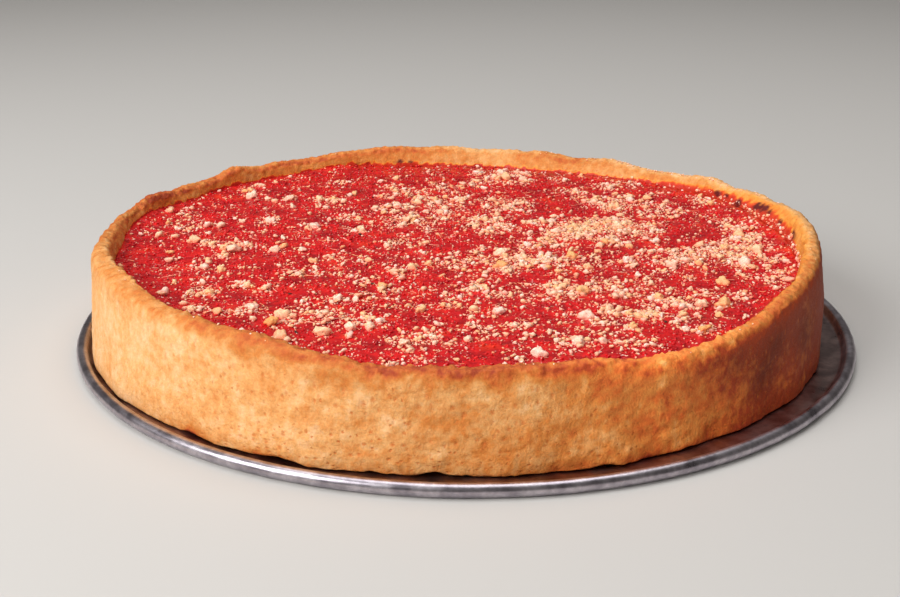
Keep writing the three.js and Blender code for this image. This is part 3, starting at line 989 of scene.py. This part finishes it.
def joined_copies(name, rng, shapes, middles, sizes, tilt, finish, soaked=0.0):
    """One mesh of all copies, each with its middle and sizes. Soaked is the most sauce a copy took up."""
    turns = random_turns(rng, len(middles), tilt)
    which = rng.integers(0, len(shapes), len(middles))
    thick = share(drifted(middles[:, 0], middles[:, 1]) / 8)
    tints = rng.uniform(0, 1, len(middles)) * np.minimum(0.62 + 0.06 * sizes[:, 0], 1) * (1 - 0.3 * thick)
    tints = tints + 0.34 * thick
    stains = soaked * rng.uniform(0, 1, len(middles)) ** 2
    wet = 0.72 * (1 - 0.45 * thick)
    floors = middles[:, 2] - 0.3 * sizes[:, 2]
    points, faces, tint, soak, start = [], [], [], [], 0
    for number, (shape, shape_faces) in enumerate(shapes):
        mine = which == number
        stretched = shape[None] * sizes[mine][:, None]
        copies = np.einsum("cij,cpj->cpi", turns[mine], stretched) + middles[mine][:, None]
        offsets = start + len(shape) * np.arange(mine.sum())
        faces.append((shape_faces[None] + offsets[:, None, None]).reshape(-1, shape_faces.shape[1]))
        points.append(copies.reshape(-1, 3))
        tint.append(np.repeat(tints[mine], len(shape)))
        # The lower part of each copy is painted red: partly sauce it took up, partly painted bounce light
        # from the sauce.
        above = (copies[:, :, 2] - floors[mine][:, None]) / sizes[mine].mean(axis=1)[:, None]
        sunk = share(1 - above / 0.75) * wet[mine][:, None]
        soak.append((sunk + stains[mine][:, None]).clip(0, 0.8).ravel())
        start += len(shape) * int(mine.sum())
    mesh = bpy.data.meshes.new(name)
    mesh.from_pydata(to_metres(np.concatenate(points)), [], np.concatenate(faces))
    mesh.attributes.new("tint", "FLOAT", "POINT").data.foreach_set("value", np.concatenate(tint))
    mesh.attributes.new("soak", "FLOAT", "POINT").data.foreach_set("value", np.concatenate(soak))
    return show(name, mesh, finish)


# %% [markdown]
# ## Finish of the cheese
#
# Aged hard cheese is cream coloured and waxy. Light enters it and comes out warm, so even a small crumb
# glows a little at its edges. Most crumbs are pale, and a few browned to yellow or orange.


# %% Grated hard cheese
def grated_cheese():
    material, tree, surface, place, (tint, soak) = start_material("grated_hard_cheese", "tint", "soak")
    colour = add(tree, "ValToRGB", [tint], stops=[
        (0.0, "#FCE8D8"), (0.2, "#F9DCC2"), (0.55, "#F4D0A4"), (0.85, "#EFC286"), (1.0, "#E4A454"),
    ])
    wax = add(tree, "TexNoise", {"Vector": place, "Scale": 1 / (1.2 * MM), "Detail": 3.0})
    uneven = add(tree, "MapRange", [wax, 0.3, 0.7, 0.93, 1.04])
    # The red coat is partly sauce that the crumb took up and partly painted bounce light from the sauce.
    for amount, coat, way in ((soak, "#EE6248", "MIX"), (1.0, uneven, "MULTIPLY")):
        colour = add(tree, "Mix", {MIX_SHARE: amount, MIX_BELOW: colour, MIX_ABOVE: coat},
                     data_type="RGBA", blend_type=way)
    rough = add(tree, "MapRange", [wax, 0, 1, 0.5, 0.7])
    bump = add(tree, "Bump", {"Height": wax, "Strength": 0.3, "Distance": 0.25 * MM})
    set_inputs(surface, {
        "Base Color": colour, "Roughness": rough, "Normal": bump,
        "Subsurface Weight": 0.5, "Subsurface Radius": (1.0, 0.8, 0.6), "Subsurface Scale": 0.7 * MM,
    })
    return material


cheese = grated_cheese()
print("finishes so far:", len(bpy.data.materials))

# %% [markdown]
# ## The largest crumbs
#
# The largest crumbs are part of the solid too, so they are drawn here by the same rule and the same seed:
# a short generator that gives the same numbers on every run.


# %% The solid's own crumbs, drawn again
def steady_draws(seed):
    """An endless row of numbers between 0 and 1, the same for the same seed."""
    state = seed
    while True:
        state = (state * 1664525 + 1013904223) % 4294967296
        yield state / 4294967296


def large_crumbs(draws):
    """Place and size of each crumb of the solid."""
    shares = [patch for patch in CRUMB_PATCHES for _ in range(patch[3])]
    crumbs = list(LONE_CRUMBS)
    while len(crumbs) < CRUMB_COUNT:
        middle_x, middle_y, spread, _ = shares[int(next(draws) * len(shares))]
        x = middle_x + spread * (sum(next(draws) for _ in range(4)) - 2) * 1.7
        y = middle_y + spread * (sum(next(draws) for _ in range(4)) - 2) * 1.7
        size = CRUMB_SMALLEST + (CRUMB_LARGEST - CRUMB_SMALLEST) * next(draws) ** 4
        apart = all(math.hypot(x - other[0], y - other[1]) > 0.45 * (size + other[2]) for other in crumbs)
        if apart and room_to_cup(x, y) > CRUMB_EDGE_ROOM:
            crumbs.append((x, y, size))
    return np.array(crumbs)


def on_the_sauce(x, y, lift):
    """Middles of things that lie on the pulp, lifted by the given heights."""
    return np.stack([x, y, sauce_height(x, y) + pulp_relief(x, y) + lift], axis=1)


CRUMB_SEED = 1907
rng = np.random.default_rng(CRUMB_SEED)
large = large_crumbs(steady_draws(CRUMB_SEED))
lump_sizes = squashed(rng, large[:, 2], 0.75, 0.5, 0.75)
lump_middles = on_the_sauce(large[:, 0], large[:, 1], 0.12 * large[:, 2])
lump_shapes = crumb_shapes(14, 3, 0.62, 3.3)
joined_copies("cheese_lumps", rng, lump_shapes, lump_middles, lump_sizes, 25, cheese, 0.04)

# %% [markdown]
# ## Crumbs and grains
#
# The smaller the pieces, the more there are and the fewer faces each one needs. They sit a little sunk in
# the sauce, which holds them, and the smallest took up the most of its colour.


# %% Four sizes of crumb
def lay_cheese(name, count, smallest, largest, subdivisions, contrast, clumped, tightness, soaked, seed):
    rng = np.random.default_rng(seed)
    x, y = strewn(rng, count, contrast, clumped, tightness)
    size = smallest + (largest - smallest) * rng.uniform(0, 1, count) ** 2.2
    sizes = squashed(rng, size, 0.42, 0.4, 0.75)
    shapes = crumb_shapes(12, subdivisions, 0.6, seed * 0.37)
    joined_copies(name, rng, shapes, on_the_sauce(x, y, 0.16 * size), sizes, 30, cheese, soaked)


# Count, smallest and largest, subdivisions, contrast, share in clumps, tightness, soaked, seed.
lay_cheese("cheese_crumbs", 600, 2.2, 4.6, 2, 0.9, 0.6, 1.5, 0.14, 11)
lay_cheese("cheese_small_crumbs", 2250, 1.5, 3.2, 2, 1.0, 0.7, 1.1, 0.3, 12)
lay_cheese("cheese_grains", 7600, 0.85, 2.0, 1, 1.0, 0.5, 0.75, 0.6, 13)
lay_cheese("cheese_fine_grains", 5800, 0.5, 1.2, 1, 0.9, 0.25, 0.5, 0.6, 14)

# %% [markdown]
# ## Bits of tomato
#
# Crushed tomato is not smooth: bits of pulp stand up out of it between the crumbs. They are laid as the
# grains of cheese are, but more where the cheese is thin, and they have the sauce's own finish.

# %% Pulp
PULP_BITS = 6000
rng = np.random.default_rng(18)
x, y = scattered(rng, PULP_BITS, -0.5, 0.5)
bit_size = 0.9 + 1.1 * rng.uniform(0, 1, PULP_BITS) ** 1.5
bit_sizes = squashed(rng, bit_size, 0.6, 0.5, 0.9)
bit_shapes = crumb_shapes(10, 1, 0.6, 6.1)
joined_copies("tomato_pulp", rng, bit_shapes, on_the_sauce(x, y, 0), bit_sizes, 40, tomato)

# %% [markdown]
# ## Shreds
#
# Between the crumbs lie thin curved shreds from the edge of the grater. A shred is a five-sided rod of 1 mm
# that is bent sideways, and each copy is stretched to its own length.


# %% Bent rods
SHREDS = 1900
SHRED_SEED = 15


def shred_shapes(count, seed):
    shapes = []
    for bend, twist in np.random.default_rng(seed).uniform(-0.9, 0.9, (count, 2)):
        bm = bmesh.new()
        bmesh.ops.create_cone(
            bm, cap_ends=True, cap_tris=True, segments=5, radius1=0.5, radius2=0.3, depth=1,
        )
        long_edges = [edge for edge in bm.edges if abs(edge.verts[0].co.z - edge.verts[1].co.z) > 0.5]
        bmesh.ops.subdivide_edges(bm, edges=long_edges, cuts=4, use_grid_fill=False)
        bmesh.ops.triangulate(bm, faces=bm.faces)
        bm.verts.index_update()
        points = np.array([(vert.co.z, vert.co.x, vert.co.y) for vert in bm.verts])
        points[:, 1] += 5 * bend * (points[:, 0] ** 2 - 0.1)
        points[:, 2] += 1.2 * twist * points[:, 0] ** 2
        # Listed backwards, the corners make faces that point into the shred.
        faces = np.array([[vert.index for vert in face.verts][::-1] for face in bm.faces])
        shapes.append((points, faces))
        bm.free()
    return shapes


rng = np.random.default_rng(SHRED_SEED)
x, y = scattered(rng, SHREDS, 0.8, 4)
length = 1.1 + 3.7 * rng.uniform(0, 1, SHREDS) ** 2.2
thick = rng.uniform(0.28, 0.5, SHREDS)
shred_sizes = np.stack([length, thick, thick], axis=1)
joined_copies("cheese_shreds", rng, shred_shapes(8, SHRED_SEED), on_the_sauce(x, y, 0.25), shred_sizes, 8,
              cheese, 0.6)

# %% [markdown]
# ## Cheese on the rim
#
# Some of the finest cheese missed the sauce. Most of this dust lies on one side of the crest, and a little
# strayed all round. Where the sauce boiled up in the oven, it left soaked grains on the inner wall.

# %% Dust on the crest and grains that boiled up
RIM_DUST = 190
STRAY_DUST = 30
BOILED_UP = 300
rng = np.random.default_rng(16)
dust_direction = np.concatenate([
    rng.normal(46, 13, RIM_DUST - STRAY_DUST), rng.uniform(-180, 180, STRAY_DUST),
    rng.normal(14, 24, BOILED_UP),
])
dust_stop = np.concatenate([
    rng.normal(9.6, 0.5, RIM_DUST).clip(8.6, 10.8), rng.triangular(11.9, 13.1, 13.1, BOILED_UP),
])
radius, height = along_section(dust_direction, dust_stop).T
dust_size = np.concatenate([
    rng.uniform(0.35, 0.8, RIM_DUST), 0.5 + 1.6 * rng.uniform(0, 1, BOILED_UP) ** 3,
])
dust_height = np.minimum(height + 0.1, HIGHEST - 0.6 * dust_size)
joined_copies(
    "cheese_on_rim", rng, crumb_shapes(6, 1, 0.6, 8.8), ring_places(dust_direction, radius, dust_height),
    dust_size[:, None] * np.ones((1, 3)), 60, cheese, np.where(dust_stop > 11, 0.7, 0.0),
)

# %% [markdown]
# ## Dried herbs
#
# A few dark flakes of dried herb and scorched tomato lie among the cheese: thin, curled and almost black.


# %% Flakes of herb
def dried_herb():
    material, tree, surface, place, _ = start_material("dried_herb")
    leaf = add(tree, "TexNoise", {"Vector": place, "Scale": 1 / (3 * MM), "Detail": 2.0})
    colour = add(tree, "ValToRGB", [leaf], stops=[
        (0.35, "#2C1410"), (0.5, "#33220F"), (0.65, "#262A12"),
    ])
    bump = add(tree, "Bump", {"Height": leaf, "Strength": 0.4, "Distance": 0.2 * MM})
    set_inputs(surface, {"Base Color": colour, "Roughness": 0.7, "Normal": bump})
    return material


FLAKES = 90
rng = np.random.default_rng(17)
x, y = scattered(rng, FLAKES, 0.2, 4)
flake_size = 0.7 + 1.5 * rng.uniform(0, 1, FLAKES) ** 2
flake_sizes = flake_size[:, None] * np.array([[1, 0.65, 0.28]])
joined_copies("herb_flakes", rng, crumb_shapes(6, 1, 0.8, 2.9), on_the_sauce(x, y, 0.12), flake_sizes, 30,
              dried_herb())

# %% [markdown]
# ## The tray
#
# A pizza tray is turned from one sheet of aluminium, and its edge is rolled into a closed bead that
# stiffens it. Half of its section is a line from the middle of its underside, round the bead and back along
# its upper face. Spinning that line makes the tray in one step. The bead has been knocked now and then, so
# it is not perfectly round.

# %% The tray's section, spun
TRAY_RADIUS = 163.8
SHEET = 1.3
BEAD_RADIUS = 2.5
BEAD_LIFT = 0.2
FLAT_RADIUS = 157
BEAD_STEPS = 26
TRAY_COLUMNS = 400
DEEPEST_KNOCK = 0.0007

bead_x = TRAY_RADIUS - BEAD_RADIUS
bead_z = BEAD_RADIUS + BEAD_LIFT
outline = [(0, 0), (100, 0), (bead_x - 3, 0), (bead_x - 1.6, 0)]
for step in range(BEAD_STEPS + 1):
    angle = math.radians(-100 + 235 * step / BEAD_STEPS)
    outline.append((bead_x + BEAD_RADIUS * math.cos(angle), bead_z + BEAD_RADIUS * math.sin(angle)))
outline += [(FLAT_RADIUS + run, SHEET + rise) for run, rise in ((1.9, 1.5), (1.3, 0.6), (0.7, 0.18))]
outline += [(radius, SHEET) for radius in (FLAT_RADIUS, FLAT_RADIUS - 1.5, FLAT_RADIUS - 8, 120, 60, 0)]

tray = spun([(radius, 0, height) for radius, height in outline], TRAY_COLUMNS)
bmesh.ops.remove_doubles(tray, verts=tray.verts, dist=0.001)
bmesh.ops.recalc_face_normals(tray, faces=tray.faces)
tray_places = places_of(tray)
bead_share = share((np.hypot(tray_places[:, 0], tray_places[:, 1]) - FLAT_RADIUS) / 4)
knocks = np.clip(grain(tray_places, 13, 2, 3.9), -1, 1) - 1
tray_places[:, :2] *= (1 + DEEPEST_KNOCK * knocks * bead_share)[:, None]
move_points(tray, tray_places * MM)

# %% [markdown]
# ## Finish of the tray
#
# Raw aluminium that went through many ovens and washes is satin grey. Turning left rings about half a
# millimetre apart, and use left smudges and fine scratches, so that a highlight breaks up along the bead.
# The flat part, inside the bead, is painted brown as a reflection of the crust.


# %% Worn turned aluminium
def worn_aluminium():
    material, tree, surface, place, _ = start_material("worn_turned_aluminium")
    flat = add(tree, "VectorMath", [place, (1, 1, 0)], operation="MULTIPLY")
    radius = add(tree, "VectorMath", [flat], operation="LENGTH")
    # The rings are a noise along the radius only.
    rings = add(tree, "TexNoise", {"W": radius, "Scale": 1 / (0.6 * MM), "Detail": 2.0},
                noise_dimensions="1D")
    smudge = add(tree, "TexNoise", {
        "Vector": place, "Scale": 1 / (11 * MM), "Detail": 5.0, "Roughness": 0.62,
    })
    scratch = add(tree, "TexNoise", {"Vector": place, "Scale": 1 / (1.8 * MM), "Detail": 3.0})
    colour = add(tree, "ValToRGB", [smudge], stops=[
        (0.3, "#918B95"), (0.46, "#B4AEB8"), (0.58, "#CEC9D1"), (0.75, "#A49EA8"),
    ])
    fine = add(tree, "MapRange", [scratch, 0.35, 0.65, 0.86, 1.04])
    # Painted reflection: the flat part is painted brown as the crust would be mirrored in it.
    oily = add(tree, "MapRange", [radius, FLAT_RADIUS * MM, (FLAT_RADIUS + 2) * MM, 0.75, 0.12])
    for amount, coat in ((1.0, fine), (oily, "#C8A08A")):
        colour = add(tree, "Mix", {MIX_SHARE: amount, MIX_BELOW: colour, MIX_ABOVE: coat},
                     data_type="RGBA", blend_type="MULTIPLY")
    rough = add(tree, "MapRange", [smudge, 0.3, 0.7, 0.25, 0.44])
    height = add(tree, "Math", [rings, scratch], operation="ADD")
    bump = add(tree, "Bump", {"Height": height, "Strength": 0.12, "Distance": 0.1 * MM})
    set_inputs(surface, {"Base Color": colour, "Metallic": 1.0, "Roughness": rough, "Normal": bump})
    return material


tray_piece = show("turned_tray", mesh_of("turned_tray", tray), worn_aluminium())
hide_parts("tray")

# %% [markdown]
# ## Light, floor and backdrop
#
# A large soft lamp at the front left models the wall. A second one in front fills the shadows, and is kept
# out of reflections, because its disc would show in the tray and the sauce. A third one above draws the
# sheen. The floor is plain and pale, so nothing competes with the food.

# %% Floor
FLOOR_SIZE = 8.0


def plain_floor():
    material, tree, surface, *_ = start_material("pale_floor")
    set_inputs(surface, {"Base Color": "#BFBCB8", "Roughness": 0.9})
    return material


ground = bmesh.new()
bmesh.ops.create_grid(ground, x_segments=1, y_segments=1, size=FLOOR_SIZE / 2)
floor = in_scene("floor", mesh_of("floor", ground), plain_floor())


# %% Lamps
AIM = Vector((0, 0, 0.02))


def soft_lamp(name, place, size, power, glossy=True):
    lamp = bpy.data.objects.new(name, bpy.data.lights.new(name, "AREA"))
    lamp.data.shape = "DISK"
    lamp.data.size = size
    lamp.data.energy = power
    lamp.location = place
    lamp.rotation_euler = (AIM - Vector(place)).to_track_quat("-Z", "Y").to_euler()
    lamp.visible_glossy = glossy
    bpy.context.scene.collection.objects.link(lamp)


soft_lamp("key", (-0.95, -0.64, 0.80), 0.9, 14.8)
soft_lamp("fill", (-0.46, -1.35, 0.66), 1.6, 14, glossy=False)
soft_lamp("top", (0.0, 0.2, 1.5), 1.5, 15.5)

world = bpy.data.worlds.new("studio")
world.use_nodes = True
backdrop = world.node_tree.nodes["Background"]
set_inputs(backdrop, {"Color": "#F0E8E0", "Strength": 0.12})
bpy.context.scene.world = world
bpy.context.scene.view_settings.view_transform = "Standard"
